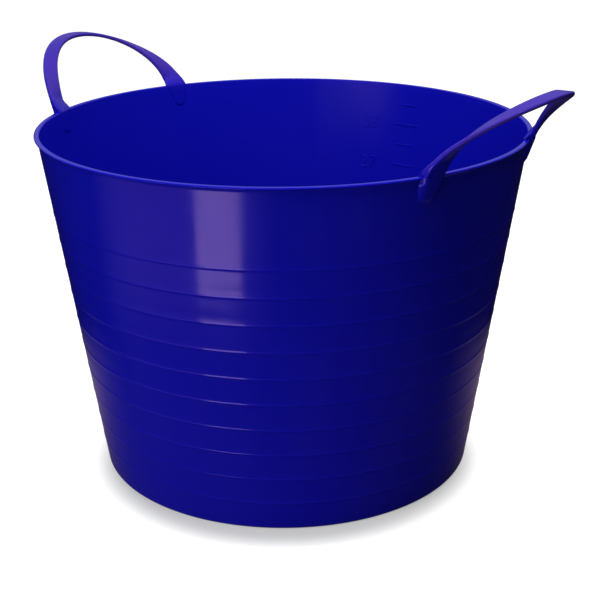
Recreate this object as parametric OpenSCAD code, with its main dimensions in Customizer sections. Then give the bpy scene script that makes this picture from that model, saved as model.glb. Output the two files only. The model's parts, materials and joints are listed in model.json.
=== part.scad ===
/* [Tub] */
// Outside diameter over the rim
rim_d = 455; // [380:5:540]
// Outside diameter of the wall, carried down to the ground
base_d = 357; // [310:1:420]
// Height of the rim above the ground
tub_h = 324; // [260:1:400]
// Thickness of the side wall
wall_t = 2.8; // [2:0.1:5]
// Thickness of the floor
floor_t = 3.6; // [2.5:0.1:6]

/* [Base] */
// Height of the floor's underside above the ground
recess_h = 3; // [1:0.5:6]
// Width of the flat that the tub stands on
foot_w = 8; // [4:0.5:14]
// Rounding of the outside bottom corner
corner_r = 3; // [2:0.5:10]
// Fillet between the floor and the wall
fillet_r = 10; // [4:0.5:20]
// Diameter of the dimple round the moulding gate
gate_d = 16; // [8:1:30]
// Depth of that dimple
gate_depth = 1; // [0.5:0.1:2]
// Diameter of the gate's stub
gate_stub_d = 4; // [2:0.5:6]

/* [Rim] */
// How far the rim stands out past the wall
rim_proud = 2.4; // [0.8:0.1:4]
// Height of the rim
rim_h = 4.4; // [3:0.1:9]
// Rounding of the rim's top edges
rim_round = 1.3; // [0.5:0.1:1.8]

/* [Ribs] */
// Number of stiffening ribs
rib_count = 10; // [0:1:10]
// Distance from the top of the rim down to the first rib's crest
rib_first = 70.5; // [50:0.5:90]
// Distance from one crest to the next
rib_pitch = 25.1; // [18:0.1:32]
// How far a crest stands out from the wall
rib_proud = 0.5; // [0.3:0.1:2.5]
// Height of a rib's upper flank, a small shoulder
rib_upper = 1.4; // [0.6:0.1:6]
// Height of a rib's lower flank, which falls back to the wall
rib_lower = 2.5; // [1.5:0.1:20]

/* [Handles] */
// Angle from a handle's middle round the rim to each of its legs
leg_angle = 21; // [16:1:28]
// Height of the grip's middle above the rim
handle_rise = 57.5; // [40:0.5:90]
// How far the grip's middle lies outside the line through its legs
handle_reach = 60; // [40:0.5:80]
// Width of a leg where it crosses the rim
leg_w = 20.5; // [16:0.5:28]
// Width of the strap at its shoulders
shoulder_w = 14.6; // [10:0.2:24]
// Width of the strap at the grip
grip_w = 15.5; // [12:0.5:28]
// Thickness of the strap at the grip
strap_t = 3.6; // [2.5:0.1:6]
// Thickness of the strap where it bends
leg_t = 5; // [3:0.1:7]

/* [Handle roots] */
// How far the lugs reach down the wall from the top of the rim
lug_len = 21; // [18:0.5:36]
// Diameter of a lug's round lower end
toe_d = 13; // [8:0.5:16]
// How far that end lies farther from the handle's middle than the leg at the rim
toe_shift = 2.5; // [0:0.1:5]
// How far the lugs stand out past the rim
lug_proud = 3; // [0.5:0.1:4]
// How much wider a lug's sloping sides are at the wall than at its face
lug_flare = 3.6; // [1:0.1:6]
// How far the lug's lower end stands out from the wall
lug_toe = 2; // [0.2:0.1:4]
// Height over which the lug grows to its full thickness
lug_toe_h = 19; // [3:0.5:20]
// How far the tongue stands out inside the wall
tongue_proud = 0.9; // [0.3:0.1:2]
// Height of the bending line above the rim
bend_h = 9; // [8:0.5:14]
// Radius of the rounded end on which a leg turns
knuckle_r = 6.6; // [5.5:0.1:8.5]
// Clearance round that end
bend_gap = 0.3; // [0.2:0.05:0.6]

/* [Hidden] */
blue = [0.05, 0.04, 0.58];
lilac_blue = [0.16, 0.13, 0.66];

// Overrun of every cut
over = 1;
// Facets of round faces
$fn = 96;
arc_steps = 8;

// Ribs: share of the pitch that a rib's flanks can take at most
rib_room_share = 0.9;

// Strap: share of the reach that grows evenly with height, power of the twist, and its angle at the rim
even_reach_share = 0.4;
twist_power = 2.3;
twist_angle = 90 + leg_angle;
// Strap: rings along it, rounding of its edges as a share of its thickness, power of the thickening
strap_rings = 56;
edge_round_share = 0.42;
thick_power = 6;

// Wall: radius outside and inside at a height, and its slope
wall_top_r = rim_d / 2 - rim_proud;
slope = (wall_top_r - base_d / 2) / tub_h;
slope_len = sqrt(1 + slope * slope);
slope_angle = atan(slope);
function wall_out(z) = base_d / 2 + slope * z;
function wall_in(z) = wall_out(z) - wall_t;

// Levels: top of the floor, top of the base ring and underside of the rim
floor_z = recess_h + floor_t;
ring_z = floor_z + fillet_r;
rim_z = tub_h - rim_h;

// Centres of the inside fillet and of the outside corner
fillet_x = wall_in(floor_z + fillet_r) - fillet_r * slope_len;
corner_x = wall_out(corner_r) - corner_r * slope_len;

function arc(x, z, r, from, to) =
    [for (i = [0 : arc_steps]) let (a = from + (to - from) * i / arc_steps) [x + r * cos(a), z + r * sin(a)]];

// Floor of the tub, dimpled underneath round the moulding gate
module floor_disc() {
    color(blue) {
        difference() {
            translate([0, 0, recess_h])
                cylinder(r = fillet_x, h = floor_t);
            translate([0, 0, recess_h - over])
                cylinder(d = gate_d, h = gate_depth + over);
        }
        translate([0, 0, recess_h])
            cylinder(d = gate_stub_d, h = gate_depth);
    }
}

// Bottom corner that the tub stands on, with the fillet up to the wall inside
module base_ring() {
    color(blue)
        rotate_extrude()
            polygon(concat(
                [[wall_in(ring_z), ring_z], [wall_out(ring_z), ring_z]],
                arc(corner_x, corner_r, corner_r, -slope_angle, -90),
                [[corner_x - foot_w, 0], [corner_x - foot_w - recess_h, recess_h], [fillet_x, recess_h]],
                arc(fillet_x, ring_z, fillet_r, -90, -slope_angle)));
}

// One rib's outline, from its foot up over its crest, within the room that the pitch leaves
rib_foot = min(rib_lower, rib_room_share * (rib_pitch - rib_upper));
function rib_points(crest_z) = [
    [wall_out(crest_z - rib_foot), crest_z - rib_foot],
    [wall_out(crest_z) + rib_proud, crest_z],
    [wall_out(crest_z + rib_upper), crest_z + rib_upper]];

// Crests of the ribs that find room above the base ring, lowest first
rib_crests = [for (i = [rib_count - 1 : -1 : 0])
    let (z = tub_h - rib_first - i * rib_pitch)
    if (z - rib_foot > ring_z) z];

// Tapered wall with its ribs, notched for the handle roots
module side_wall() {
    ribs = [for (z = rib_crests) each rib_points(z)];
    color(blue)
        difference() {
            rotate_extrude()
                polygon(concat(
                    [[wall_in(ring_z), ring_z], [wall_out(ring_z), ring_z]],
                    ribs,
                    [[wall_out(rim_z), rim_z], [wall_in(rim_z), rim_z]]));
            root_notches();
        }
}

// Wedge about the tub's axis, of less than half a turn
module sector(from, to) {
    translate([0, 0, rim_z - over])
        linear_extrude(height = rim_h + 2 * over)
            polygon(concat([[0, 0]], arc(0, 0, 2 * rim_d, from, to)));
}

// Stretch of the rounded lip along the top of the wall, between two handle roots
module rim(from, to) {
    rim_r = rim_d / 2;
    color(lilac_blue)
        difference() {
            intersection() {
                rotate_extrude()
                    polygon(concat(
                        [[wall_in(rim_z), rim_z], [wall_out(rim_z), rim_z]],
                        [[rim_r, rim_z + rim_proud / 2]],
                        arc(rim_r - rim_round, tub_h - rim_round, rim_round, 0, 90),
                        arc(wall_in(tub_h) + rim_round, tub_h - rim_round, rim_round, 90, 180)));
                sector(from, to);
            }
            root_notches();
        }
}

// Strap: radius of a lug's face, with which the strap's outer face lines up at the rim, the place of a leg
// there, and the middle line of the strap
lug_r = rim_d / 2 + lug_proud;
root_r = lug_r - leg_t / 2;
leg_x = root_r * cos(leg_angle);
leg_y = root_r * sin(leg_angle);
function reach_at(s) = handle_reach * (even_reach_share * s + (1 - even_reach_share) * s * s);
function middle(a) = [leg_x + reach_at(sin(a)), leg_y * cos(a), tub_h + handle_rise * sin(a)];
function heading(a) = [
    handle_reach * (even_reach_share + 2 * (1 - even_reach_share) * sin(a)) * cos(a),
    -leg_y * sin(a),
    handle_rise * cos(a)];

// Strap: width and thickness at an angle along it
function blend3(a, b, c, s) = a * (1 - s) * (1 - 2 * s) + 4 * b * s * (1 - s) + c * s * (2 * s - 1);
function strap_w(a) = blend3(leg_w, shoulder_w, grip_w, sin(a));
function strap_thick(a) = strap_t + (leg_t - strap_t) * pow(abs(cos(a)), thick_power);

// Strap: direction of its width, which turns from along the rim at the legs to across it at the grip
function unit(v) = v / norm(v);
function width_dir(a, t) =
    let (g = twist_angle * sign(cos(a)) * pow(abs(cos(a)), twist_power), w = [cos(g), sin(g), 0])
    unit(w - (w * t) * t);

// Outline across the strap: a flat band with rounded edges
function band(w, t) =
    let (r = edge_round_share * t, x = w / 2 - r, y = t / 2 - r)
    [for (q = [[1, -1, -90], [1, 1, 0], [-1, 1, 90], [-1, -1, 180]], i = [0 : 2])
        [q[0] * x + r * cos(q[2] + 45 * i), q[1] * y + r * sin(q[2] + 45 * i)]];
band_points = len(band(grip_w, strap_t));

function strap_ring(a) =
    let (t = unit(heading(a)), w = width_dir(a, t), n = cross(t, w), m = middle(a))
    [for (p = band(strap_w(a), strap_thick(a))) m + p[0] * w + p[1] * n];

// Whole strap from rim to rim
module strap() {
    points = [for (i = [0 : strap_rings]) each strap_ring(180 * i / strap_rings)];
    last = strap_rings * band_points;
    sides = [for (i = [0 : strap_rings - 1], k = [0 : band_points - 1])
        let (a = i * band_points + k, b = i * band_points + (k + 1) % band_points)
        each [[a, b, a + band_points], [b, b + band_points, a + band_points]]];
    ends = [
        [for (k = [band_points - 1 : -1 : 0]) k],
        [for (k = [0 : band_points - 1]) last + k]];
    polyhedron(points = points, faces = concat(sides, ends));
}

// Bending line through both legs, just above the rim
bend_a = asin(bend_h / handle_rise);
bend_z = tub_h + bend_h;
bend_x = middle(bend_a)[0];

module bend_cylinder(r) {
    translate([bend_x, 0, bend_z])
        rotate([90, 0, 0])
            cylinder(r = r, h = 2 * rim_d, center = true);
}

// Strap handle whose legs end in rounded knuckles on the bending line
module handle() {
    color(lilac_blue)
        difference() {
            strap();
            difference() {
                translate([0, -rim_d, bend_z - rim_d])
                    cube([rim_d, 2 * rim_d, rim_d]);
                bend_cylinder(knuckle_r);
            }
        }
}

// A leg's middle on the bending line, seen from its root: sideways from it, and out from the tub's axis
bend_side = middle(bend_a)[1] * cos(leg_angle) - middle(bend_a)[0] * sin(leg_angle);
bend_out = middle(bend_a)[0] * cos(leg_angle) + middle(bend_a)[1] * sin(leg_angle);

// Lug: its lowest level, and the middle of its round lower end
lug_z = tub_h - lug_len;
toe_z = lug_z + toe_d / 2;

// Outline of a root seen from outside: a tongue that leans with the leg and ends in a round toe
module tongue_outline() {
    bend_w = strap_w(bend_a);
    translate([toe_shift, toe_z])
        circle(d = toe_d);
    polygon([
        [toe_shift - toe_d / 2, toe_z], [toe_shift + toe_d / 2, toe_z], [leg_w / 2, tub_h],
        [bend_side + bend_w / 2, bend_z], [bend_side - bend_w / 2, bend_z], [-leg_w / 2, tub_h]]);
}

// Places in the outline go sideways, up and out at the leg on the +Y side of the +X handle
module facing_leg() {
    rotate([0, 0, leg_angle])
        rotate([90, 0, 90])
            children();
}

module tongue_prism() {
    facing_leg()
        linear_extrude(height = rim_d)
            tongue_outline();
}

// The lug's outline below the rim, with its edge moved outwards, at a distance from the tub's axis
function lug_outline(grow, out) = [
    for (p = concat(
        [[-leg_w / 2 - grow, tub_h]],
        arc(toe_shift, toe_z, toe_d / 2 + grow, 180, 360),
        [[leg_w / 2 + grow, tub_h]])) [p[0], p[1], out]];

// Sloping sides of a lug, from the wall out to its face
module lug_sides() {
    wall_r = wall_out(lug_z);
    grow_rate = lug_flare / (lug_r - wall_r);
    inner = lug_outline(lug_flare + grow_rate * over, wall_r - over);
    outer = lug_outline(-grow_rate * over, lug_r + over);
    n = len(inner);
    sides = [for (k = [0 : n - 1])
        let (m = (k + 1) % n)
        each [[k, n + k, m], [m, n + k, n + m]]];
    difference() {
        facing_leg()
            polyhedron(
                points = concat(inner, outer),
                faces = concat(sides, [[for (k = [0 : n - 1]) k], [for (k = [n - 1 : -1 : 0]) n + k]]));
        cylinder(r1 = wall_out(0), r2 = wall_out(rim_z), h = rim_z);
        translate([0, 0, rim_z])
            cylinder(r = rim_d, h = rim_h + over);
    }
}

// Every leg's place: the handle's turn about the tub and the side of the handle
module at_leg(turn, side) {
    rotate([0, 0, turn])
        mirror([0, side < 0 ? 1 : 0, 0])
            children();
}

module root_notches() {
    for (turn = [0, 180], side = [-1, 1])
        at_leg(turn, side)
            tongue_prism();
}

// Root of one leg: a lug outside, a tongue inside and the seat of the leg's knuckle on top
module root(turn, side) {
    low_z = lug_z - lug_flare;
    color(blue)
        at_leg(turn, side)
            difference() {
                intersection() {
                    union() {
                        tongue_prism();
                        lug_sides();
                    }
                    rotate_extrude()
                        polygon([
                            [wall_in(low_z) - tongue_proud, low_z],
                            [wall_out(low_z) + lug_toe, low_z],
                            [wall_out(lug_z) + lug_toe, lug_z],
                            [lug_r, lug_z + lug_toe_h],
                            [lug_r, tub_h],
                            [bend_out + leg_t / 2, bend_z],
                            [bend_out - leg_t / 2, bend_z],
                            [wall_in(tub_h) - tongue_proud, tub_h]]);
                }
                bend_cylinder(knuckle_r + bend_gap);
            }
}

floor_disc();  // floor
base_ring();
side_wall();
rim(leg_angle - 180, -leg_angle);  // front_rim
rim(leg_angle, 180 - leg_angle);  // rear_rim
rim(-leg_angle, leg_angle);  // right_rim
rim(180 - leg_angle, 180 + leg_angle);  // left_rim
root(0, -1);  // right_front_root
root(0, 1);  // right_rear_root
root(180, 1);  // left_front_root
root(180, -1);  // left_rear_root
handle();  // right_handle
rotate([0, 0, 180]) handle();  // left_handle
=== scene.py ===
import json
import math

import bmesh
import bpy
from bpy.props import FloatProperty, FloatVectorProperty, IntProperty, PointerProperty
from bpy.types import Operator, Panel, PropertyGroup
from mathutils import Matrix, Vector

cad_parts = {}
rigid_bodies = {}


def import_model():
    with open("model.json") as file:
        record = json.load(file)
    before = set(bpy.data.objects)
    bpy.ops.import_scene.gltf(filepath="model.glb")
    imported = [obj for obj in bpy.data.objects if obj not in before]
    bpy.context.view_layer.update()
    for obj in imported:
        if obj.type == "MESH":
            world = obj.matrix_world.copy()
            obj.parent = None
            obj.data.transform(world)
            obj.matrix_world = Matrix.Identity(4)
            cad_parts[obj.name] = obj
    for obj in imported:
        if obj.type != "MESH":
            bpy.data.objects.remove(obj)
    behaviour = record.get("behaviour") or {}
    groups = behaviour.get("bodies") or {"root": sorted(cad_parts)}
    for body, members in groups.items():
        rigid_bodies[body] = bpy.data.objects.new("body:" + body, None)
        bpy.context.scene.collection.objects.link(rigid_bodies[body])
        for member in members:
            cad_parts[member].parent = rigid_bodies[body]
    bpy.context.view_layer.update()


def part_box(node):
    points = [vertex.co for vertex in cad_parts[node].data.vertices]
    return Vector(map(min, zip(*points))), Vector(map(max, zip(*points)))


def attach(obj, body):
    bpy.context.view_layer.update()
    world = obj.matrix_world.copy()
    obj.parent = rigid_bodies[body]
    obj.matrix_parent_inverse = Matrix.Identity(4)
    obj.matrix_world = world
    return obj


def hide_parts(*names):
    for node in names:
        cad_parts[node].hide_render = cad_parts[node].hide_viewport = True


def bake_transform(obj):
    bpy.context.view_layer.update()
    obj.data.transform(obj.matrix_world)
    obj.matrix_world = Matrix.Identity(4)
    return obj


bl_info = {
    "name": "Muck Bucket",
    "version": (1, 0, 0),
    "blender": (4, 5, 0),
    "location": "View3D > Sidebar > Muck Bucket",
    "description": "A flexible stable tub with a ribbed wall, strap handles and a litre scale",
    "category": "Object",
}

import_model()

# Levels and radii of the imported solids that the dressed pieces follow
RIM_LOW, RIM_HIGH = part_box("rear_rim")
WALL_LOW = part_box("side_wall")[0]
BODY = "tub"


class TubSizes(PropertyGroup):
    rim_radius: FloatProperty(
        name="Rim radius", description="Outside radius over the rim",
        default=RIM_HIGH.y, unit="LENGTH")
    height: FloatProperty(
        name="Height", description="Top of the rim above the ground",
        default=RIM_HIGH.z, unit="LENGTH")
    rim_level: FloatProperty(
        name="Rim level", description="Underside of the rim above the ground",
        default=RIM_LOW.z, unit="LENGTH")
    ring_level: FloatProperty(
        name="Ring level", description="Top of the base ring above the ground",
        default=WALL_LOW.z, unit="LENGTH")
    base_radius: FloatProperty(
        name="Base radius", description="Outside radius of the wall, carried down to the ground",
        default=0.1785, unit="LENGTH")
    wall: FloatProperty(
        name="Wall", description="Thickness of the wall", default=0.0028, unit="LENGTH")
    floor: FloatProperty(
        name="Floor", description="Thickness of the floor", default=0.0036, unit="LENGTH")
    recess: FloatProperty(
        name="Recess", description="Underside of the floor above the ground",
        default=0.003, unit="LENGTH")
    foot: FloatProperty(
        name="Foot", description="Width of the flat that the tub stands on",
        default=0.008, unit="LENGTH")
    corner: FloatProperty(
        name="Corner", description="Rounding of the outside bottom corner",
        default=0.003, unit="LENGTH")
    rim_proud: FloatProperty(
        name="Rim proud", description="How far the rim stands out past the wall",
        default=0.0024, unit="LENGTH")
    rim_flare: FloatProperty(
        name="Rim flare", description="Height over which the wall flares out to the rim",
        default=0.0056, unit="LENGTH")
    rim_round: FloatProperty(
        name="Rim round", description="Rounding of the rim's top edges",
        default=0.0013, unit="LENGTH")
    gate_radius: FloatProperty(
        name="Gate radius", description="Radius of the dimple round the moulding gate",
        default=0.008, unit="LENGTH")
    gate_depth: FloatProperty(
        name="Gate depth", description="Depth of that dimple", default=0.001, unit="LENGTH")
    gate_stub: FloatProperty(
        name="Gate stub", description="Radius of the gate's stub", default=0.002, unit="LENGTH")
    segments: IntProperty(
        name="Segments", description="Facets round the tub", default=192, min=24)


class RibSizes(PropertyGroup):
    count: IntProperty(name="Count", description="Number of ribs", default=10, min=0)
    first: FloatProperty(
        name="First", description="From the top of the rim down to the first crest",
        default=0.0705, unit="LENGTH")
    pitch: FloatProperty(
        name="Pitch", description="From one crest to the next", default=0.0251, unit="LENGTH")
    proud: FloatProperty(
        name="Proud", description="How far a crest stands out from the wall",
        default=0.0003, unit="LENGTH")
    upper: FloatProperty(
        name="Upper flank", description="Height of a rib's upper flank", default=0.0014, unit="LENGTH")
    lower: FloatProperty(
        name="Lower flank", description="Height of a rib's lower flank",
        default=0.0025, unit="LENGTH")
    rows: IntProperty(
        name="Rows", description="Facets up one pitch of the wall, most of them on the rib",
        default=16, min=4)


class StrapSizes(PropertyGroup):
    leg_angle: FloatProperty(
        name="Leg angle", description="From a handle's middle round the rim to each leg",
        default=math.radians(21), subtype="ANGLE")
    rise: FloatProperty(
        name="Rise", description="Middle of the grip above the rim", default=0.0575, unit="LENGTH")
    reach: FloatProperty(
        name="Reach", description="Middle of the grip outside the line through the legs",
        default=0.060, unit="LENGTH")
    even_reach: FloatProperty(
        name="Even reach", description="Share of the reach that grows evenly with height",
        default=0.4, subtype="FACTOR")
    twist_power: FloatProperty(
        name="Twist power", description="How soon the strap turns flat", default=2.3)
    leg_width: FloatProperty(
        name="Leg width", description="Width of a leg at the rim", default=0.0205, unit="LENGTH")
    shoulder_width: FloatProperty(
        name="Shoulder width", description="Width of the strap at its shoulders",
        default=0.0146, unit="LENGTH")
    grip_width: FloatProperty(
        name="Grip width", description="Width of the strap at the grip",
        default=0.0155, unit="LENGTH")
    thickness: FloatProperty(
        name="Thickness", description="Thickness of the strap at the grip",
        default=0.0036, unit="LENGTH")
    leg_thickness: FloatProperty(
        name="Leg thickness", description="Thickness of the strap at its legs",
        default=0.005, unit="LENGTH")
    lug_length: FloatProperty(
        name="Lug length", description="How far the lugs reach down from the top of the rim",
        default=0.021, unit="LENGTH")
    toe_radius: FloatProperty(
        name="Toe radius", description="Radius of a lug's round lower end",
        default=0.0065, unit="LENGTH")
    toe_shift: FloatProperty(
        name="Toe shift", description="How far the toe lies farther from the handle's middle",
        default=0.0025, unit="LENGTH")
    toe_proud: FloatProperty(
        name="Toe proud", description="How far the toe stands out from the wall",
        default=0.0020, unit="LENGTH")
    toe_height: FloatProperty(
        name="Toe height", description="Height over which the lug grows to its full thickness",
        default=0.019, unit="LENGTH")
    lug_proud: FloatProperty(
        name="Lug proud", description="How far the lugs stand out past the rim",
        default=0.003, unit="LENGTH")
    lug_flare: FloatProperty(
        name="Lug flare", description="How much wider a lug is at the wall than at its face",
        default=0.0036, unit="LENGTH")
    tongue_proud: FloatProperty(
        name="Tongue proud", description="How far the tongue stands out inside the wall",
        default=0.0009, unit="LENGTH")
    bend_length: FloatProperty(
        name="Bend length", description="Height over which the legs bend",
        default=0.024, unit="LENGTH")
    rings: IntProperty(
        name="Rings", description="Sections along the strap", default=150, min=20)


class ScaleSizes(PropertyGroup):
    azimuth: FloatProperty(
        name="Azimuth", description="Where the scale's marks stand round the inside",
        default=math.radians(91), subtype="ANGLE")
    step: FloatProperty(
        name="Step", description="Litres from one mark to the next", default=3.0)
    spare: FloatProperty(
        name="Spare", description="Part of the tub's room that the scale leaves out",
        default=0.019, subtype="FACTOR")
    count: IntProperty(name="Count", description="Number of marks", default=12, min=1)
    length: FloatProperty(
        name="Length", description="Length of a short mark", default=0.0215, unit="LENGTH")
    thickness: FloatProperty(
        name="Thickness", description="Height of a mark's line", default=0.0020, unit="LENGTH")
    relief: FloatProperty(
        name="Relief", description="How far the marks stand out", default=0.00055, unit="LENGTH")
    stretch: FloatProperty(
        name="Stretch", description="Length of a numbered mark against a short one", default=1.4)
    numeral: FloatProperty(
        name="Numeral", description="Height of the numbers", default=0.0140, unit="LENGTH")
    gap: FloatProperty(
        name="Gap", description="From the marks to the middle of the numbers",
        default=0.041, unit="LENGTH")


class PlasticLook(PropertyGroup):
    colour: FloatVectorProperty(
        name="Colour", description="Ultramarine of the moulding", subtype="COLOR", size=3,
        default=(0.0042, 0.0045, 0.380), min=0, max=1)
    shade: FloatVectorProperty(
        name="Shade", description="Second blue of its faint clouding", subtype="COLOR", size=3,
        default=(0.0034, 0.0046, 0.345), min=0, max=1)
    sheen: FloatVectorProperty(
        name="Sheen", description="Lilac tint of the pigment's reflections", subtype="COLOR", size=3,
        default=(1.0, 0.60, 1.0), min=0, max=1)
    gloss: FloatProperty(
        name="Gloss", description="Roughness of the smooth moulded skin",
        default=0.11, subtype="FACTOR")
    dull: FloatProperty(
        name="Dull", description="Roughness where the skin is dulled by handling",
        default=0.20, subtype="FACTOR")
    # Painted sheen: a lilac base colour on the straps that stands in for the lilac reflection on their
    # lit faces
    handled_colour: FloatVectorProperty(
        name="Handled colour", description="Lilac blue of the straps where hands rub them",
        subtype="COLOR", size=3, default=(0.034, 0.018, 0.285), min=0, max=1)
    handled_dull: FloatProperty(
        name="Handled dull", description="Roughness that the rubbing of hands adds to the straps",
        default=0.25, subtype="FACTOR")
    grain: FloatProperty(
        name="Grain", description="Depth of the skin's fine unevenness",
        default=0.00006, unit="LENGTH")


class StageLook(PropertyGroup):
    camera_distance: FloatProperty(
        name="Camera distance", description="From the tub's axis to the camera, along the ground",
        default=1.150, unit="LENGTH")
    camera_height: FloatProperty(
        name="Camera height", description="Camera above the ground", default=0.5766, unit="LENGTH")
    camera_azimuth: FloatProperty(
        name="Camera azimuth", description="Where the camera stands round the tub",
        default=math.radians(-51.88), subtype="ANGLE")
    camera_pitch: FloatProperty(
        name="Camera pitch", description="How far the camera looks down",
        default=0.3559, subtype="ANGLE")
    camera_yaw: FloatProperty(
        name="Camera yaw", description="How far it looks to the right of the axis",
        default=0.0122, subtype="ANGLE")
    camera_roll: FloatProperty(
        name="Camera roll", description="How far it is turned about its view",
        default=-0.0064, subtype="ANGLE")
    camera_lens: FloatProperty(name="Lens", description="Focal length in millimetres", default=75.58)
    key_power: FloatProperty(name="Key", description="Watts of the soft key light", default=15.5)
    top_power: FloatProperty(name="Top", description="Watts of the soft light overhead", default=33.0)
    side_power: FloatProperty(
        name="Side", description="Watts of the soft light from the right and behind", default=10.0)
    back_power: FloatProperty(
        name="Back", description="Watts of the weak light on the far side", default=9.0)
    fill: FloatProperty(name="Fill", description="Strength of the light all round", default=0.02)
    # Painted shade: the floor's white glow to the camera dims near the tub, round spots shifted by this
    # much
    shade_shift: FloatProperty(
        name="Shade shift", description="How far the tub's shade on the floor lies towards the camera",
        default=0.026, unit="LENGTH")
    # The floor's glow is painted: it shows only to the gloss, and no lamp casts it
    glow_colour: FloatVectorProperty(
        name="Glow colour", description="Cast of the floor where the gloss mirrors it",
        subtype="COLOR", size=3, default=(1.0, 0.70, 0.95), min=0, max=1)
    glow_azimuth: FloatProperty(
        name="Glow azimuth", description="Where the strip light's glow on the floor is strongest",
        default=math.radians(-98), subtype="ANGLE")
    strip_strength: FloatProperty(
        name="Strip", description="Brightness of the low strip light's reflection", default=2.6)


# Small tools

# Angles past which an edge between two faces stays sharp
TURNED_CREASE = math.radians(35)
WALL_CREASE = math.radians(50)
STRAP_CREASE = math.radians(60)


def smooth(low, high, value):
    """Smooth step from 0 at low to 1 at high."""
    share = min(max((value - low) / (high - low), 0.0), 1.0)
    return share * share * (3 - 2 * share)


def mix(a, b, share):
    """Number or place on the way from a to b."""
    return a + (b - a) * share


def direction(azimuth, elevation=0.0):
    """Unit vector that points round the tub's axis, and up by the elevation."""
    level = math.cos(elevation)
    return Vector((math.cos(azimuth) * level, math.sin(azimuth) * level, math.sin(elevation)))


def add_object(name, data):
    """New object at the origin of the scene."""
    made = bpy.data.objects.new(name, data)
    bpy.context.scene.collection.objects.link(made)
    return made


def finish_shading(mesh, crease):
    """Smooth shading, with sharp edges past the crease angle."""
    mesh.polygons.foreach_set("use_smooth", [True] * len(mesh.polygons))
    mesh.set_sharp_from_angle(angle=crease)
    mesh.update()


def add_piece(name, bm, material, crease):
    """Object from a bmesh, with its faces turned outwards and its material set."""
    bmesh.ops.recalc_face_normals(bm, faces=bm.faces)
    mesh = bpy.data.meshes.new(name)
    bm.to_mesh(mesh)
    bm.free()
    mesh.materials.append(material)
    finish_shading(mesh, crease)
    return add_object(name, mesh)


def plain_mesh(carrier):
    """Plain mesh of what an object shows once its modifier or its bevel is worked out."""
    bpy.context.view_layer.update()
    shown = carrier.evaluated_get(bpy.context.evaluated_depsgraph_get())
    return bpy.data.meshes.new_from_object(shown)


class Taper:
    """Radii of the tapered wall at a height, from the tub's sizes."""

    def __init__(self, tub):
        self.slope = (tub.rim_radius - tub.rim_proud - tub.base_radius) / tub.height
        self.low = tub.base_radius
        self.wall = tub.wall

    def out(self, z):
        return self.low + self.slope * z

    def inside(self, z):
        return self.out(z) - self.wall


def arc(x, z, radius, start, end, steps=8):
    """Points of an arc in the radius and height plane, angles in degrees."""
    turn = [math.radians(mix(start, end, i / steps)) for i in range(steps + 1)]
    return [(x + radius * math.cos(a), z + radius * math.sin(a)) for a in turn]


def lathe(name, profile, segments, material):
    """Closed ring or disc turned from an outline of radius and height pairs; radius 0 is a pole."""
    bm = bmesh.new()
    turn = [math.tau * i / segments for i in range(segments)]
    rings = []
    for radius, z in profile:
        spots = [(0, 0, z)]
        if radius:
            spots = [(radius * math.cos(a), radius * math.sin(a), z) for a in turn]
        rings.append([bm.verts.new(spot) for spot in spots])
    pairs = list(zip(rings, rings[1:]))
    if len(rings[0]) > 1 and len(rings[-1]) > 1:
        pairs.append((rings[-1], rings[0]))
    for lower, upper in pairs:
        for i in range(segments):
            j = (i + 1) % segments
            quad = [lower[i % len(lower)], lower[j % len(lower)]]
            quad += [upper[j % len(upper)], upper[i % len(upper)]]
            corners = list(dict.fromkeys(quad))
            if len(corners) > 2:
                bm.faces.new(corners)
    return add_piece(name, bm, material, TURNED_CREASE)


# Node trees

class Nodes:
    """Node tree of a shape, a material or the world, written from left to right."""

    def __init__(self, tree):
        self.tree = tree

    def put(self, node, inputs):
        """Give each input of a node a plain value or another node's output."""
        for key, given in inputs.items():
            socket = node.inputs[key]
            if isinstance(given, bpy.types.NodeSocket):
                self.tree.links.new(given, socket)
            else:
                socket.default_value = given

    def node(self, kind, inputs=None, **settings):
        made = self.tree.nodes.new(kind)
        for key, given in settings.items():
            setattr(made, key, given)
        self.put(made, inputs or {})
        return made

    def out(self, kind, inputs=None, **settings):
        """First output of a new node."""
        return self.node(kind, inputs, **settings).outputs[0]

    def math(self, operation, *values):
        return self.out("ShaderNodeMath", dict(enumerate(values)), operation=operation)

    def measure(self, operation, *vectors):
        """Number that an operation on vectors gives."""
        made = self.node("ShaderNodeVectorMath", dict(enumerate(vectors)), operation=operation)
        return made.outputs["Value"]

    def split(self, vector):
        return self.node("ShaderNodeSeparateXYZ", {0: vector}).outputs

    def combine(self, x, y, z):
        return self.out("ShaderNodeCombineXYZ", {"X": x, "Y": y, "Z": z})

    def ranged(self, value, low, high, start, end, way="SMOOTHSTEP"):
        """Value carried from low and high to start and end, and held there beyond them."""
        spans = {"Value": value, "From Min": low, "From Max": high, "To Min": start, "To Max": end}
        return self.out("ShaderNodeMapRange", spans, interpolation_type=way)


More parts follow.
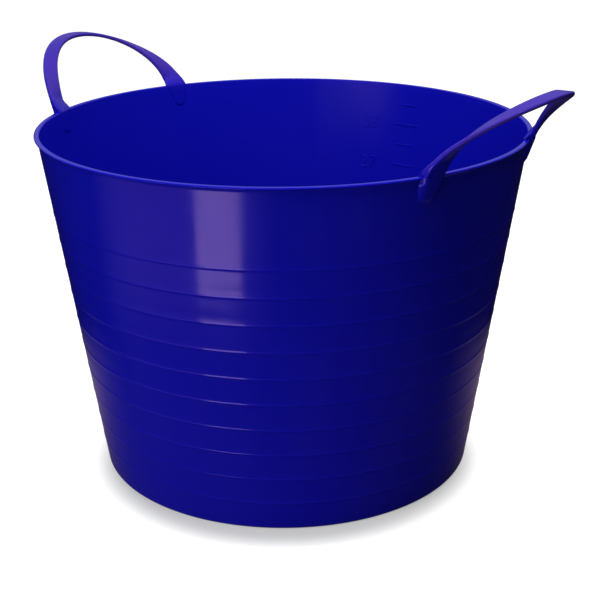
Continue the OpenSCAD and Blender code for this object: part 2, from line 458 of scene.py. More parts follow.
class ShapeNodes(Nodes):
    """Geometry Nodes tree with named inputs for its sizes, listed by their kind."""

    def __init__(self, name, inputs):
        super().__init__(bpy.data.node_groups.new(name, "GeometryNodeTree"))
        face = self.tree.interface
        self.ids = {}
        for kind, labels in inputs.items():
            for label in labels:
                item = face.new_socket(name=label, in_out="INPUT", socket_type="NodeSocket" + kind)
                self.ids[label] = item.identifier
        face.new_socket(name="Geometry", in_out="OUTPUT", socket_type="NodeSocketGeometry")
        self.source = self.node("NodeGroupInput")
        self.sink = self.node("NodeGroupOutput")

    def value(self, label):
        return self.source.outputs[label]

    def place(self):
        """Coordinates of each point."""
        return self.split(self.out("GeometryNodeInputPosition"))

    def curve(self, value, spots, handle):
        """Value read off a curve through the given spots."""
        made = self.node("ShaderNodeFloatCurve", {"Value": value})
        points = made.mapping.curves[0].points
        points[0].location = spots[0]
        points[1].location = spots[-1]
        for spot in spots[1:-1]:
            points.new(*spot)
        for point in points:
            point.handle_type = handle
        made.mapping.update()
        return made.outputs[0]

    def around(self, geometry, radius, turn, height):
        """Points moved to a radius from the axis, a turn about it and a height."""
        x = self.math("MULTIPLY", radius, self.math("COSINE", turn))
        y = self.math("MULTIPLY", radius, self.math("SINE", turn))
        where = self.combine(x, y, height)
        return self.out("GeometryNodeSetPosition", {"Geometry": geometry, "Position": where})

    def join(self, parts):
        made = self.node("GeometryNodeJoinGeometry")
        for part in reversed(parts):
            self.tree.links.new(part, made.inputs[0])
        return made.outputs[0]

    def end(self, geometry):
        """Realize the instances, set the material and close the tree."""
        real = self.out("GeometryNodeRealizeInstances", {0: geometry})
        painted = {"Geometry": real, "Material": self.value("Material")}
        self.put(self.sink, {0: self.out("GeometryNodeSetMaterial", painted)})


def grow(name, shape, values, seed=None):
    """Plain mesh object that a tree makes from the given inputs."""
    seed = seed or bpy.data.meshes.new(name + "_seed")
    carrier = add_object(name + "_seed", seed)
    modifier = carrier.modifiers.new("Shape", "NODES")
    modifier.node_group = shape.tree
    for label, given in values.items():
        modifier[shape.ids[label]] = given
    mesh = plain_mesh(carrier)
    if not mesh.polygons:
        raise RuntimeError("The shape of " + name + " came out empty")
    mesh.name = name
    carrier.modifiers.remove(modifier)
    bpy.data.objects.remove(carrier)
    bpy.data.meshes.remove(seed)
    return add_object(name, mesh)


def turned_sheet(shape, rows, radius_of, height_of):
    """Sheet wrapped once round the axis, whose radius and height follow its second coordinate."""
    columns = shape.math("ADD", shape.value("Segments"), 1)
    grid = shape.node("GeometryNodeMeshGrid", {
        "Size X": 1.0, "Size Y": 1.0, "Vertices X": columns, "Vertices Y": rows})
    place = shape.place()
    turn = shape.math("MULTIPLY", shape.math("ADD", place["X"], 0.5), math.tau)
    along = shape.math("ADD", place["Y"], 0.5)
    height = height_of(along)
    return shape.around(grid.outputs["Mesh"], radius_of(along, height), turn, height)


# Rib's height over its flanks, from the top down, and the rows' spread over one pitch
RIB_SECTION = (
    (0.0, 0.0), (0.08, 0.10), (0.28, 0.90), (0.36, 1.0), (0.45, 0.92), (0.80, 0.14), (1.0, 0.0))
ROW_SPREAD = ((0.0, 0.0), (0.75, 0.16), (0.875, 0.5), (1.0, 1.0))
# Keeps a row on the border of two pitches in the lower one
PITCH_NUDGE = 0.0001
# Rows of the plain inside, and the gap across which the wall's sheets are sewn together
INSIDE_ROWS = 24
SEAM = 0.00002


def ribbed_wall_nodes():
    """Tapered wall with ribs outside: the tree's inputs are its sizes."""
    shape = ShapeNodes("RibbedWall", {
        "Int": ("Segments", "Rows"),
        "Float": ("Bottom", "Top", "Ground Radius", "Slope", "Wall", "Rib Count", "Rib Top", "Rib Pitch",
                  "Rib Height", "Rib Proud"),
        "Material": ("Material",)})
    calc, value = shape.math, shape.value

    def level(along):
        span = calc("SUBTRACT", value("Top"), value("Bottom"))
        return calc("ADD", value("Bottom"), calc("MULTIPLY", along, span))

    def pitches(high, low):
        span = calc("SUBTRACT", value(high), value(low))
        return calc("CEIL", calc("DIVIDE", span, value("Rib Pitch")))

    below = pitches("Rib Top", "Bottom")
    stretches = calc("ADD", pitches("Top", "Rib Top"), below)
    rows = calc("ADD", calc("MULTIPLY", stretches, value("Rows")), 1)

    def ribbed_level(along):
        place = calc("SUBTRACT", below, calc("MULTIPLY", along, stretches))
        whole = calc("FLOOR", calc("ADD", place, PITCH_NUDGE))
        spread = shape.curve(calc("SUBTRACT", place, whole), ROW_SPREAD, "VECTOR")
        drop = calc("MULTIPLY", calc("ADD", whole, spread), value("Rib Pitch"))
        height = calc("MAXIMUM", calc("SUBTRACT", value("Rib Top"), drop), value("Bottom"))
        return calc("MINIMUM", height, value("Top"))

    def taper(height):
        return calc("ADD", value("Ground Radius"), calc("MULTIPLY", height, value("Slope")))

    def rib(height):
        count = calc("DIVIDE", calc("SUBTRACT", value("Rib Top"), height), value("Rib Pitch"))
        down = calc("MULTIPLY", calc("FRACT", count), value("Rib Pitch"))
        phase = calc("MINIMUM", calc("DIVIDE", down, value("Rib Height")), 1.0)
        section = shape.curve(phase, RIB_SECTION, "AUTO_CLAMPED")
        started = calc("GREATER_THAN", count, 0.0)
        unfinished = calc("LESS_THAN", count, value("Rib Count"))
        proud = calc("MULTIPLY", section, value("Rib Proud"))
        return calc("MULTIPLY", proud, calc("MULTIPLY", started, unfinished))

    def outer(along, height):
        return calc("ADD", taper(height), rib(height))

    def inner(along, height):
        return calc("SUBTRACT", taper(height), value("Wall"))

    def across(along, height):
        return calc("ADD", inner(along, height), calc("MULTIPLY", along, value("Wall")))

    def flip(part):
        return shape.out("GeometryNodeFlipFaces", {0: part})

    outside = turned_sheet(shape, rows, outer, ribbed_level)
    inside = flip(turned_sheet(shape, INSIDE_ROWS, inner, level))
    top = flip(turned_sheet(shape, 2, across, lambda along: value("Top")))
    bottom = turned_sheet(shape, 2, across, lambda along: value("Bottom"))
    sheets = {"Geometry": shape.join([outside, inside, top, bottom]), "Distance": SEAM}
    shape.end(shape.out("GeometryNodeMergeByDistance", sheets))
    return shape


# How much longer than a short mark each mark of the scale is, kept on its seed point
STRETCH = "stretch"
# Facets round and along the rod that makes a mark
ROD_FACETS = {"Vertices": 16, "Side Segments": 12}


def scale_marks_nodes():
    """Rows of short raised lines at given levels, wrapped on the inside of the taper."""
    shape = ShapeNodes("ScaleMarks", {
        "Geometry": ("Levels",),
        "Float": ("Length", "Thickness", "Relief", "Inside Radius", "Slope", "Azimuth"),
        "Material": ("Material",)})
    calc, value = shape.math, shape.value
    # One half of the rod is sunk in the wall, so it is twice as deep as its relief
    size = shape.combine(value("Thickness"), calc("MULTIPLY", value("Relief"), 2.0), value("Length"))
    rod = shape.out("GeometryNodeMeshCylinder", {**ROD_FACETS, "Radius": 0.5, "Depth": 1.0})
    bar = shape.out("GeometryNodeTransform", {
        "Geometry": rod, "Rotation": (0, math.radians(90), 0), "Scale": size})
    longer = shape.out("GeometryNodeInputNamedAttribute", {"Name": STRETCH})
    bars = shape.out("GeometryNodeInstanceOnPoints", {
        "Points": value("Levels"), "Instance": bar,
        "Scale": shape.combine(calc("ADD", longer, 1.0), 1.0, 1.0)})
    real = shape.out("GeometryNodeRealizeInstances", {0: bars})
    place = shape.place()
    wall = calc("ADD", value("Inside Radius"), calc("MULTIPLY", place["Z"], value("Slope")))
    turn = calc("SUBTRACT", value("Azimuth"), calc("DIVIDE", place["X"], wall))
    shape.end(shape.around(real, calc("ADD", wall, place["Y"]), turn, place["Z"]))
    return shape


# Materials

# Share of a strap's skin that gets the painted lilac sheen and the rubbed dullness, kept on its points
PAINTED_SHEEN_AND_RUB = "handled"
# Scale, detail and stretch of the noise behind the clouding, the dull patches and the moulded skin
CLOUDS = (7.0, 3.0, (1, 1, 1))
PATCHES = (34.0, 6.0, (1, 1, 0.3))
SKIN = (420.0, 2.0, (1, 1, 1))
# Part of the patches' noise over which the gloss goes dull
PATCH_SPAN = (0.35, 0.75)
SKIN_STRENGTH = 0.35
POLYETHYLENE_IOR = 1.5
WHITE = (1, 1, 1, 1)


def plastic(name, look, with_painted_sheen_and_rub=False):
    """Moulded polyethylene: faint clouding, uneven gloss and a fine moulded skin; on the straps also a
    painted lilac sheen in the colour and a duller gloss where rubbed.
    """
    material = bpy.data.materials.get(name)
    if material:
        return material
    material = bpy.data.materials.new(name)
    material.use_nodes = True
    nodes = Nodes(material.node_tree)
    where = nodes.node("ShaderNodeTexCoord").outputs["Object"]

    def noise(scale, detail, stretch):
        lay = nodes.out("ShaderNodeMapping", {"Vector": where, "Scale": stretch})
        return nodes.out("ShaderNodeTexNoise", {"Vector": lay, "Scale": scale, "Detail": detail})

    def tinted(share, a, b):
        made = nodes.node("ShaderNodeMix", {"Factor": share, "A": a, "B": b}, data_type="RGBA")
        return made.outputs["Result"]

    colour = tinted(noise(*CLOUDS), (*look.colour, 1), (*look.shade, 1))
    roughness = nodes.ranged(noise(*PATCHES), *PATCH_SPAN, look.gloss, look.dull, "LINEAR")
    # On the straps the lilac is a painted sheen in the base colour; the extra roughness is their rubbed
    # dullness
    if with_painted_sheen_and_rub:
        handled = nodes.node("ShaderNodeAttribute", attribute_name=PAINTED_SHEEN_AND_RUB).outputs["Fac"]
        colour = tinted(handled, colour, (*look.handled_colour, 1))
        roughness = nodes.math("MULTIPLY_ADD", handled, look.handled_dull, roughness)
    skin = nodes.out("ShaderNodeBump", {
        "Strength": SKIN_STRENGTH, "Distance": look.grain, "Height": noise(*SKIN)})
    nodes.put(material.node_tree.nodes["Principled BSDF"], {
        "Base Color": colour, "Roughness": roughness, "Normal": skin,
        "IOR": POLYETHYLENE_IOR, "Specular Tint": (*look.sheen, 1)})
    return material


def tub_plastic():
    return plastic("tub_polyethylene", bpy.context.scene.muck_plastic)


def strap_plastic():
    return plastic("strap_polyethylene", bpy.context.scene.muck_plastic, with_painted_sheen_and_rub=True)


def settle(piece, body, nodes):
    """Ride a finished piece on its body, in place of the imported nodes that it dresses."""
    if nodes:
        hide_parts(*nodes)
    if body:
        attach(piece, body)


# Operators

class MUCK_OT_wall(Operator):
    """Tapered wall with its stiffening ribs"""
    bl_idname = "muck.wall"
    bl_label = "Ribbed Wall"

    def execute(self, context):
        tub, ribs = context.scene.muck_tub, context.scene.muck_ribs
        taper = Taper(tub)
        piece = grow("ribbed_wall", ribbed_wall_nodes(), {
            "Segments": tub.segments, "Rows": ribs.rows,
            "Bottom": tub.ring_level, "Top": tub.rim_level,
            "Ground Radius": taper.low, "Slope": taper.slope, "Wall": tub.wall,
            "Rib Count": float(ribs.count), "Rib Top": tub.height - ribs.first + ribs.upper,
            "Rib Pitch": ribs.pitch, "Rib Height": ribs.upper + ribs.lower,
            "Rib Proud": ribs.proud, "Material": tub_plastic()})
        finish_shading(piece.data, WALL_CREASE)
        settle(piece, BODY, ["side_wall"])
        return {"FINISHED"}


class MUCK_OT_base(Operator):
    """Floor and the rounded corner that the tub stands on"""
    bl_idname = "muck.base"
    bl_label = "Floor and Base Ring"

    FILLET_STEPS = 12

    def execute(self, context):
        tub = context.scene.muck_tub
        taper = Taper(tub)
        lean = math.hypot(1, taper.slope)
        tilt = math.degrees(math.atan(taper.slope))
        top, under = tub.ring_level, tub.recess
        floor_top = under + tub.floor
        fillet = top - floor_top
        fillet_x = taper.inside(top) - fillet * lean
        corner_x = taper.out(tub.corner) - tub.corner * lean
        foot_x = corner_x - tub.foot
        ring = [(taper.inside(top), top), (taper.out(top), top)]
        ring += arc(corner_x, tub.corner, tub.corner, -tilt, -90)
        ring += [(foot_x, 0), (foot_x - under, under), (fillet_x, under)]
        ring += arc(fillet_x, top, fillet, -90, -tilt, self.FILLET_STEPS)
        piece = lathe("base_corner", ring, tub.segments, tub_plastic())
        settle(piece, BODY, ["base_ring"])

        dimple = under + tub.gate_depth
        halfway = fillet_x / 2
        disc = [
            (0, floor_top), (halfway, floor_top), (fillet_x, floor_top), (fillet_x, under),
            (halfway, under), (tub.gate_radius, under), (tub.gate_radius, dimple),
            (tub.gate_stub, dimple), (tub.gate_stub, under), (0, under)]
        piece = lathe("tub_floor", disc, tub.segments, tub_plastic())
        settle(piece, BODY, ["floor"])
        return {"FINISHED"}


class MUCK_OT_rim(Operator):
    """Rounded lip along the top of the wall"""
    bl_idname = "muck.rim"
    bl_label = "Rim"

    # Facets of the rim to each facet of the wall
    FINER = 2
    # Points up the flare, and how late it swings out
    FLARE_STEPS = 10
    FLARE_POWER = 3
    # How far the flare starts inside the wall's face, and its hidden foot as a share of the wall
    FLARE_SINK = 0.00002
    FOOT_SINK = 0.3

    def execute(self, context):
        tub = context.scene.muck_tub
        taper = Taper(tub)
        top, low, radius = tub.height, tub.rim_level, tub.rim_radius
        bend = tub.rim_round
        ring = [(taper.inside(low), low), (taper.out(low) - tub.wall * self.FOOT_SINK, low)]
        for i in range(self.FLARE_STEPS):
            rise = i / self.FLARE_STEPS
            z = mix(top - tub.rim_flare, top - bend, rise)
            ring.append((mix(taper.out(z) - self.FLARE_SINK, radius, rise ** self.FLARE_POWER), z))
        ring += arc(radius - bend, top - bend, bend, 0, 90)
        ring += arc(taper.inside(top) + bend, top - bend, bend, 90, 180)
        piece = lathe("rolled_rim", ring, tub.segments * self.FINER, tub_plastic())
        settle(piece, BODY, ["front_rim", "rear_rim", "right_rim", "left_rim"])
        return {"FINISHED"}


class StrapShape:
    """Middle line, twist and sections of one handle with its lugs, for the handle on the +X side."""

    # Points of a section round each edge and along each flat
    EDGE = 5
    FLAT = 5
    # Rounding of the edges as a share of the thickness, and the angle at which it starts
    ROUND_SHARE = 0.42
    ROUND_START = -8
    # How soon the legs thin out, and how closely their sections stand near the rim
    THIN_POWER = 6
    CROWD_POWER = 1.25
    # Sections up a lug, and how closely their points stand near its edges
    LUG_STEPS = 30
    EDGE_POWER = 0.85
    # Width of a lug's sloping side: inside its outline, at the lip and round the tongue
    SLOPE_INSIDE = 0.0016
    LIP_FLARE = 0.0007
    TONGUE_FLARE = 0.0012
    # How deep a lug's edges sink into the wall, over the lowest share of their slope
    SINK = 0.0004
    SINK_SHARE = 0.2
    # Half width at a lug's lowest section, and how far that section lies above the toe's end
    LEAST_REACH = 0.0004
    TOE_GAP = 0.0002
    # Heights about the rim's underside between which a lug's sides get steep
    STEEP = (-0.003, 0.001)
    # Heights about the rim's top between which a lug's outline turns into the strap's
    TURN = (-0.0005, 0.011)

    def __init__(self, tub, strap):
        self.tub, self.strap, self.taper = tub, strap, Taper(tub)
        self.top = tub.height
        self.face = tub.rim_radius + strap.lug_proud
        root = self.face - strap.leg_thickness / 2
        self.leg_x = root * math.cos(strap.leg_angle)
        self.leg_y = root * math.sin(strap.leg_angle)
        self.out = direction(strap.leg_angle)
        self.side = Vector((-self.out.y, self.out.x, 0))
        self.toe_z = self.top - strap.lug_length + strap.toe_radius

    def middle(self, turn):
        s, strap = math.sin(turn), self.strap
        reach = strap.reach * (strap.even_reach * s + (1 - strap.even_reach) * s * s)
        return Vector((self.leg_x + reach, self.leg_y * math.cos(turn), self.top + strap.rise * s))

    def heading(self, turn):
        s, c, strap = math.sin(turn), math.cos(turn), self.strap
        reach = strap.reach * (strap.even_reach + 2 * (1 - strap.even_reach) * s) * c
        return Vector((reach, -self.leg_y * s, strap.rise * c)).normalized()

    def across(self, turn):
        c = math.cos(turn)
        twist = math.radians(90) + self.strap.leg_angle
        flat = direction(math.copysign(twist * abs(c) ** self.strap.twist_power, c))
        ahead = self.heading(turn)
        return (flat - flat.dot(ahead) * ahead).normalized()

    def width(self, turn):
        """Width along the strap: a parabola through those at leg, shoulder and grip."""
        s, strap = math.sin(turn), self.strap
        legs = strap.leg_width * (1 - s) * (1 - 2 * s)
        return legs + strap.shoulder_width * 4 * s * (1 - s) + strap.grip_width * s * (2 * s - 1)

    def thickness(self, turn):
        strap = self.strap
        return mix(strap.thickness, strap.leg_thickness, abs(math.cos(turn)) ** self.THIN_POWER)

    def half_band(self, width, thick):
        """Outer half of the strap's outline, from its far edge round to its near edge."""
        bend = self.ROUND_SHARE * thick
        x, y = width / 2 - bend, thick / 2 - bend
        first = arc(x, -y, bend, self.ROUND_START, -90, self.EDGE - 1)
        flat = [(mix(x, -x, (i + 1) / (self.FLAT + 1)), -thick / 2) for i in range(self.FLAT)]
        return first + flat + [(-p, q) for p, q in reversed(first)]

    def band_ring(self, turn):
        ahead, wide, spot = self.heading(turn), self.across(turn), self.middle(turn)
        face = ahead.cross(wide)
        half = self.half_band(self.width(turn), self.thickness(turn))
        whole = half + [(-p, -q) for p, q in half]
        return [spot + wide * p + face * q for p, q in whole]

    def lug_place(self, z):
        """Middle and half width of a lug's outline at a height, and the drop below its toe's middle."""
        strap = self.strap
        rise = min(max((z - self.toe_z) / (self.top - self.toe_z), 0.0), 1.0)
        half = mix(strap.toe_radius, strap.leg_width / 2, rise)
        return strap.toe_shift * (1 - rise), half, max(self.toe_z - z, 0.0)

    def lug_half(self, z, wall, height, flare, sink):
        """Half of a lug's section at a height: sideways places and radii, from one edge to the other."""
        middle, half, drop = self.lug_place(z)
        reach = math.sqrt(max((half + flare) ** 2 - drop * drop, self.LEAST_REACH ** 2))
        steps = 2 * self.EDGE + self.FLAT
        found = []
        for i in range(steps):
            share = -math.cos(math.pi * i / (steps - 1))
            spread = math.copysign(abs(share) ** self.EDGE_POWER, share)
            t = middle - spread * reach
            outside = math.hypot(t - middle, drop) - half
            slope = 1 - smooth(-self.SLOPE_INSIDE, flare, outside)
            sunk = sink * (1 - smooth(0, self.SINK_SHARE, slope))
            found.append((t, wall + height * slope - sunk))
        return found

    def lug_ring(self, z):
        strap, taper = self.strap, self.taper
        level = min(z, self.top)
        lean = max(z - self.top, 0.0) * strap.even_reach * strap.reach / strap.rise
        low = self.top - strap.lug_length
        full = min(max((level - low) / strap.toe_height, 0.0), 1.0)
        wall_out, wall_in = taper.out(level), taper.inside(level)
        face = mix(taper.out(low) + strap.toe_proud, self.face, full)
        face = max(face, wall_out + strap.toe_proud)
        soft_low, soft_high = (self.tub.rim_level + part for part in self.STEEP)
        flare = mix(self.LIP_FLARE, strap.lug_flare, 1 - smooth(soft_low, soft_high, level))
        outer = self.lug_half(level, wall_out, face - wall_out, flare, self.SINK)
        inner = self.lug_half(level, wall_in, -strap.tongue_proud, self.TONGUE_FLARE, -self.SINK)
        ring = []
        for t, radius in outer + list(reversed(inner)):
            depth = math.sqrt(radius * radius - t * t)
            ring.append(self.out * depth + self.side * t + Vector((lean, 0, z)))
        return ring

    def leg_ring(self, turn):
        """Section of a leg, which grows from the lug's outline into the strap's."""
        band = self.band_ring(turn)
        z = self.middle(turn).z
        low, high = (self.top + part for part in self.TURN)
        share = smooth(low, high, z)
        if share >= 1:
            return band
        return [mix(a, b, share) for a, b in zip(self.lug_ring(z), band)]

    def rings(self):
        """Sections from the toe of the leg on the +Y side to the middle of the grip."""
        low = self.top - self.strap.lug_length - self.strap.lug_flare + self.TOE_GAP
        found = [self.lug_ring(mix(low, self.top, i / self.LUG_STEPS)) for i in range(self.LUG_STEPS)]
        half = self.strap.rings // 2
        for i in range(half + 1):
            found.append(self.leg_ring(math.pi / 2 * (i / half) ** self.CROWD_POWER))
        return found


def mirrored(ring):
    """The same section on the other leg, in the same order round the strap."""
    return [Vector((p.x, -p.y, p.z)) for p in ring]


class MUCK_OT_straps(Operator):
    """Strap handles with the lugs through which they grow out of the wall"""
    bl_idname = "muck.straps"
    bl_label = "Strap Handles"

    # How far above the rim the legs start to bend
    BEND_START = 0.0005
    # Where the painted lilac sheen and the rubbed dullness start on a leg: that far above the rim
    # outside and below it inside
    RUB_OFFSET = 0.008
    # Height over which the painted sheen and the rubbing grow, and how far a face leans before it counts
    # as inner or outer
    RUB_HEIGHT = 0.032
    RUB_LEAN = 0.3

    def execute(self, context):
        tub, strap = context.scene.muck_tub, context.scene.muck_strap
        shape = StrapShape(tub, strap)
        half = shape.rings()
        rings = half + [mirrored(r) for r in reversed(half[:-1])]
        for hand, turn in (("right", 0.0), ("left", math.pi)):
            piece = self.loft(hand + "_strap_handle", rings, Matrix.Rotation(turn, 4, "Z"))
            self.rub(piece.data, tub, math.cos(turn))
            settle(piece, None, [
                hand + "_handle", hand + "_front_root", hand + "_rear_root"])
            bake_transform(piece)
        return {"FINISHED"}

    def rub(self, mesh, tub, outward):
        """Mark where a strap gets its painted lilac sheen and its rubbed dullness: a leg's inner face
        from the rim up, its outer face higher up.
        """
        shares = []
        for v in mesh.vertices:
            inner = smooth(-self.RUB_LEAN, self.RUB_LEAN, -outward * v.normal.x)
            start = tub.height + mix(self.RUB_OFFSET, -self.RUB_OFFSET, inner)
            shares.append(smooth(start, start + self.RUB_HEIGHT, v.co.z))
        mesh.attributes.new(PAINTED_SHEEN_AND_RUB, "FLOAT", "POINT").data.foreach_set("value", shares)

    @staticmethod
    def loft(name, rings, turn):
        """Closed strap through its sections, turned about the tub's axis."""
        bm = bmesh.new()
        rows = [[bm.verts.new(turn @ p) for p in ring] for ring in rings]
        count = len(rows[0])
        for one, two in zip(rows, rows[1:]):
            for i in range(count):
                j = (i + 1) % count
                bm.faces.new((one[i], one[j], two[j], two[i]))
        for end in (rows[0], rows[-1]):
            tip = bm.verts.new(sum((v.co for v in end), Vector()) / count)
            for i in range(count):
                bm.faces.new((end[i], end[(i + 1) % count], tip))
        return add_piece(name, bm, strap_plastic(), STRAP_CREASE)


class MUCK_OT_scale(Operator):
    """Faint litre scale on the inside of the wall, with plain numbers"""
    bl_idname = "muck.scale"
    bl_label = "Litre Scale"

    # Litres in a cubic metre, and the halvings that find a level
    LITRES = 1000
    HALVINGS = 40
    # Type size against a number's height
    TYPE_SIZE = 1.4
    # Shares of the relief: a number's straight side, its bevel, and how far its outline is drawn in
    STRAIGHT = 0.2
    BEVEL = 0.8
    DRAWN_IN = -0.4
    # Points of a number closer than this are one
    SAME_POINT = 1e-7

    def execute(self, context):
        tub, scale = context.scene.muck_tub, context.scene.muck_scale
        taper = Taper(tub)
        levels = [self.level(tub, taper, scale, scale.step * (i + 1)) for i in range(scale.count)]
        seed = bpy.data.meshes.new("scale_levels")
        seed.from_pydata([(0, 0, z) for z in levels], [], [])
        lengths = seed.attributes.new(STRETCH, "FLOAT", "POINT")
        for i in self.numbered(levels):
            lengths.data[i].value = scale.stretch - 1
        marks = grow("scale_marks", scale_marks_nodes(), {
            "Length": scale.length, "Thickness": scale.thickness, "Relief": scale.relief,
            "Inside Radius": taper.inside(0), "Slope": taper.slope, "Azimuth": scale.azimuth,
            "Material": tub_plastic()}, seed)
        settle(marks, BODY, [])
        settle(self.numbers(scale, taper, levels), BODY, [])
        return {"FINISHED"}

    def level(self, tub, taper, scale, litres):
        """Height at which the tub holds that many litres."""
        floor_top = tub.recess + tub.floor
        low, high = floor_top, tub.height
        wanted = litres / self.LITRES * (1 + scale.spare)
        for _ in range(self.HALVINGS):
            z = (low + high) / 2
            a, b = taper.inside(floor_top), taper.inside(z)
            room = math.pi / 3 * (z - floor_top) * (a * a + a * b + b * b)
            low, high = (z, high) if room < wanted else (low, z)
        return low

    @staticmethod
    def numbered(levels):
        """Every second mark, starting from the last but one."""
        return range(len(levels) - 2, 0, -2)

    def flat_number(self, scale, litres):
        """Raised number, flat on the ground plane."""
        text = bpy.data.curves.new("number", "FONT")
        text.body = str(round(litres))
        text.size = scale.numeral * self.TYPE_SIZE
        text.extrude = scale.relief * self.STRAIGHT
        text.bevel_depth = scale.relief * self.BEVEL
        text.offset = scale.relief * self.DRAWN_IN
        text.bevel_resolution = 1
        text.resolution_u = 4
        text.align_x = "CENTER"
        carrier = add_object("number", text)
        flat = plain_mesh(carrier)
        bpy.data.objects.remove(carrier)
        bpy.data.curves.remove(text)
        return flat

    def numbers(self, scale, taper, levels):
        """Raised numbers beside the long marks, wrapped on the wall."""
        bm = bmesh.new()
        for i in self.numbered(levels):
            flat = self.flat_number(scale, scale.step * (i + 1))
            flat.transform(Matrix.Translation((-scale.gap, levels[i] - scale.numeral / 2, 0)))
            bm.from_mesh(flat)
            bpy.data.meshes.remove(flat)
        bmesh.ops.remove_doubles(bm, verts=bm.verts, dist=self.SAME_POINT)
        for v in bm.verts:
            across, z, proud = v.co
            wall = taper.inside(z)
            turn = scale.azimuth - across / wall
            v.co = ((wall - proud) * math.cos(turn), (wall - proud) * math.sin(turn), z)
        return add_piece("scale_numbers", bm, tub_plastic(), TURNED_CREASE)


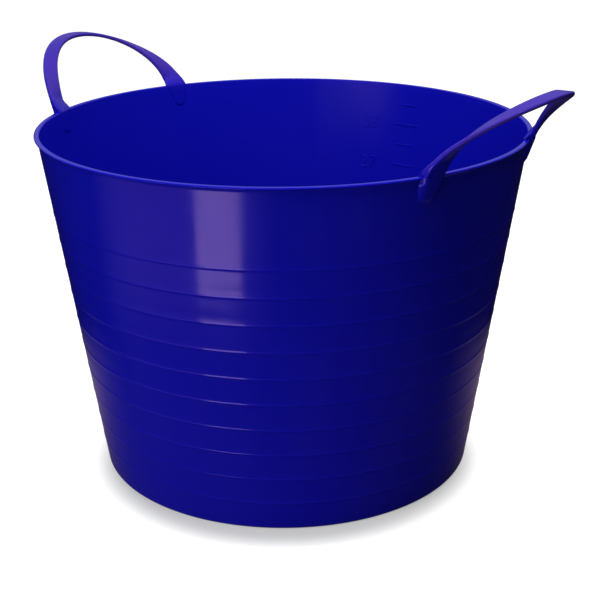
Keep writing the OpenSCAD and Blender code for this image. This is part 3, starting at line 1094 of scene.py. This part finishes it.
class MUCK_OT_stage(Operator):
    """Pale floor, soft light, low strip light and the camera"""
    bl_idname = "muck.stage"
    bl_label = "Stage"

    # Azimuth and elevation of the lamps, in degrees; each lamp's power is a property of its name
    LAMPS = {"key": (-93, 15), "top": (-52, 76), "side": (60, 60), "back": (132, 20)}
    LAMP_SIZE = 1.1
    LAMP_DISTANCE = 1.7
    LAMP_AIM = Vector((0, 0, 0.18))
    SENSOR = 36.0
    CLIP = (0.01, 50)
    # Half the floor's side, its drop under the tub's foot, and its greys to the camera and to the light
    FLOOR_HALF = 6.0
    FLOOR_DROP = 0.0002
    FLOOR_SEEN = (0.30, 0.30, 0.30, 1)
    FLOOR_BOUNCE = (0.24, 0.24, 0.24, 1)
    # Smooth ranges: from and to which distance, or share of a direction, then the strengths there
    # Painted contact shade: the floor's white glow to the camera dims within these distances of the tub
    CONTACT_SHADE = (0.160, 0.200, 0.34, 1.0)
    # The next four ranges shape the painted glow that the floor shows only to the gloss
    FLOOR_BEHIND = (-0.12, 0.10, 0.02, 0.20)
    FLOOR_NEAR = (0.28, 0.45, 1.0, 0.03)
    GLOW_TURN = (0.70, 1.0, 0.0, 1.0)
    GLOW_REACH = (0.38, 0.62, 0.03, 0.30)
    BACKDROP_TURN = (0.1, 0.6, 0.03, 0.36)
    BACKDROP_RISE = (0.02, 0.22, 0.03, 1.0)
    # Corners of the strip light, its foot from left to right and its head from right to left
    STRIP_FOOT = ((0.020, -0.527), (0.190, -0.503))
    STRIP_HEAD = ((0.235, -0.520), (0.099, -0.556))
    STRIP_TOP = 0.335

    def execute(self, context):
        stage = context.scene.muck_stage
        self.camera(context.scene, stage)
        self.floor(stage)
        self.world(context.scene, stage)
        for name, (azimuth, elevation) in self.LAMPS.items():
            way = direction(math.radians(azimuth), math.radians(elevation))
            self.lamp(name, getattr(stage, name + "_power"), way)
        self.strip_light(stage)
        context.scene.view_settings.view_transform = "Standard"
        return {"FINISHED"}

    def camera(self, scene, stage):
        lens = bpy.data.cameras.new("photo_camera")
        lens.sensor_width = self.SENSOR
        lens.lens = stage.camera_lens
        lens.clip_start, lens.clip_end = self.CLIP
        shot = add_object("photo_camera", lens)
        place = direction(stage.camera_azimuth) * stage.camera_distance
        place.z = stage.camera_height
        heading = stage.camera_azimuth + math.pi - stage.camera_yaw
        ahead = direction(heading, -stage.camera_pitch)
        level = Vector((math.sin(heading), -math.cos(heading), 0))
        upright = level.cross(ahead)
        c, s = math.cos(stage.camera_roll), math.sin(stage.camera_roll)
        turn = Matrix((level * c + upright * s, upright * c - level * s, -ahead)).transposed()
        shot.matrix_world = Matrix.Translation(place) @ turn.to_4x4()
        scene.camera = shot

    @staticmethod
    def bare_nodes(owner):
        """Empty node tree of a new material or world."""
        owner.use_nodes = True
        owner.node_tree.nodes.clear()
        return Nodes(owner.node_tree)

    @staticmethod
    def sheet(name, corners, material):
        """One flat face that belongs to the stage."""
        mesh = bpy.data.meshes.new(name)
        mesh.from_pydata(corners, [], [tuple(range(len(corners)))])
        mesh.materials.append(material)
        piece = add_object(name, mesh)
        return piece

    def floor(self, stage):
        """White to the camera with a painted soft shade under the tub, grey to the light, and dim with a
        painted glow to the gloss.
        """
        material = bpy.data.materials.new("pale_floor")
        nodes = self.bare_nodes(material)
        ray = nodes.node("ShaderNodeLightPath").outputs
        where = nodes.node("ShaderNodeTexCoord").outputs["Object"]
        front = direction(stage.camera_azimuth)
        shifts = (stage.shade_shift, -stage.shade_shift)
        # Painted shade: distance from two spots about the tub, which dims the floor's white glow
        shade = nodes.math("MINIMUM", *[nodes.measure("DISTANCE", where, front * d) for d in shifts])
        pale = nodes.out("ShaderNodeBsdfDiffuse", {"Color": self.FLOOR_SEEN})
        white_with_painted_shade = nodes.out("ShaderNodeEmission", {
            "Color": WHITE, "Strength": nodes.ranged(shade, *self.CONTACT_SHADE)})
        seen = nodes.out("ShaderNodeAddShader", {0: pale, 1: white_with_painted_shade})

        # To the gloss the floor shows a painted glow: a strip of light towards the glow azimuth and a
        # faint sheen just behind the tub
        away = nodes.measure("LENGTH", where)
        rearward = nodes.measure("DOT_PRODUCT", where, -front)
        behind = nodes.ranged(rearward, *self.FLOOR_BEHIND)
        behind = nodes.math("MULTIPLY", behind, nodes.ranged(away, *self.FLOOR_NEAR))
        facing = nodes.out("ShaderNodeVectorMath", {0: where}, operation="NORMALIZE")
        beside = nodes.measure("DOT_PRODUCT", facing, direction(stage.glow_azimuth))
        glow = nodes.ranged(beside, *self.GLOW_TURN)
        glow = nodes.math("MULTIPLY_ADD", glow, nodes.ranged(away, *self.GLOW_REACH), behind)
        painted_glow = nodes.out("ShaderNodeEmission", {"Color": (*stage.glow_colour, 1), "Strength": glow})
        dim = nodes.out("ShaderNodeBsdfDiffuse", {"Color": self.FLOOR_BOUNCE})
        bounce = nodes.out("ShaderNodeMixShader", {0: ray["Is Glossy Ray"], 1: dim, 2: painted_glow})
        whole = nodes.out("ShaderNodeMixShader", {0: ray["Is Camera Ray"], 1: bounce, 2: seen})
        nodes.node("ShaderNodeOutputMaterial", {"Surface": whole})
        half, low = self.FLOOR_HALF, -self.FLOOR_DROP
        corners = [(-half, -half, low), (half, -half, low), (half, half, low), (-half, half, low)]
        self.sheet("pale_floor", corners, material)

    def world(self, scene, stage):
        """White to the camera, a weak fill to the light and a bright backdrop to the gloss."""
        scene.world = bpy.data.worlds.new("studio")
        nodes = self.bare_nodes(scene.world)
        ray = nodes.node("ShaderNodeLightPath").outputs
        where = nodes.node("ShaderNodeTexCoord").outputs["Generated"]
        rearward = nodes.measure("DOT_PRODUCT", where, -direction(stage.camera_azimuth))
        behind = nodes.ranged(rearward, *self.BACKDROP_TURN)
        high = nodes.ranged(nodes.split(where)["Z"], *self.BACKDROP_RISE)
        bright = nodes.math("MULTIPLY", behind, high)
        sheen = nodes.out("ShaderNodeBackground", {"Strength": bright})
        fill = nodes.out("ShaderNodeBackground", {"Color": WHITE, "Strength": stage.fill})
        white = nodes.out("ShaderNodeBackground", {"Color": WHITE, "Strength": 1.0})
        seen = nodes.math("MAXIMUM", ray["Is Camera Ray"], ray["Is Transmission Ray"])
        glossy = nodes.out("ShaderNodeMixShader", {0: ray["Is Glossy Ray"], 1: fill, 2: sheen})
        whole = nodes.out("ShaderNodeMixShader", {0: seen, 1: glossy, 2: white})
        nodes.node("ShaderNodeOutputWorld", {"Surface": whole})

    def lamp(self, name, power, way):
        """Soft square lamp, whose light falls on the tub but isn't mirrored in it."""
        data = bpy.data.lights.new(name, "AREA")
        data.energy = power
        data.shape = "SQUARE"
        data.size = self.LAMP_SIZE
        light = add_object(name, data)
        light.location = self.LAMP_AIM + way * self.LAMP_DISTANCE
        light.rotation_euler = way.to_track_quat("Z", "Y").to_euler()
        light.visible_camera = False
        light.visible_glossy = False

    def strip_light(self, stage):
        """Low strip light in front of the tub, seen only as a reflection."""
        material = bpy.data.materials.new("strip_light")
        nodes = self.bare_nodes(material)
        glow = nodes.out("ShaderNodeEmission", {"Color": WHITE, "Strength": stage.strip_strength})
        nodes.node("ShaderNodeOutputMaterial", {"Surface": glow})
        corners = [(x, y, 0.0) for x, y in self.STRIP_FOOT]
        corners += [(x, y, self.STRIP_TOP) for x, y in self.STRIP_HEAD]
        strip = self.sheet("strip_light", corners[::-1], material)
        strip.visible_camera = False
        strip.visible_diffuse = False
        strip.visible_shadow = False
        strip.visible_transmission = False


class MUCK_PT_panel(Panel):
    bl_label = "Muck Bucket"
    bl_idname = "MUCK_PT_panel"
    bl_space_type = "VIEW_3D"
    bl_region_type = "UI"
    bl_category = "Muck Bucket"

    def draw(self, context):
        for made in OPERATORS:
            self.layout.operator(made.bl_idname)


GROUPS = {
    "muck_tub": TubSizes,
    "muck_ribs": RibSizes,
    "muck_strap": StrapSizes,
    "muck_scale": ScaleSizes,
    "muck_plastic": PlasticLook,
    "muck_stage": StageLook,
}
OPERATORS = (MUCK_OT_base, MUCK_OT_wall, MUCK_OT_rim, MUCK_OT_straps, MUCK_OT_scale, MUCK_OT_stage)


def register():
    for name, group in GROUPS.items():
        bpy.utils.register_class(group)
        setattr(bpy.types.Scene, name, PointerProperty(type=group))
    for made in OPERATORS:
        bpy.utils.register_class(made)
    bpy.utils.register_class(MUCK_PT_panel)


def unregister():
    bpy.utils.unregister_class(MUCK_PT_panel)
    for made in reversed(OPERATORS):
        bpy.utils.unregister_class(made)
    for name, group in reversed(GROUPS.items()):
        delattr(bpy.types.Scene, name)
        bpy.utils.unregister_class(group)


def main():
    register()
    bpy.ops.muck.base()
    bpy.ops.muck.wall()
    bpy.ops.muck.rim()
    bpy.ops.muck.straps()
    bpy.ops.muck.scale()
    bpy.ops.muck.stage()


if __name__ == "__main__":
    main()
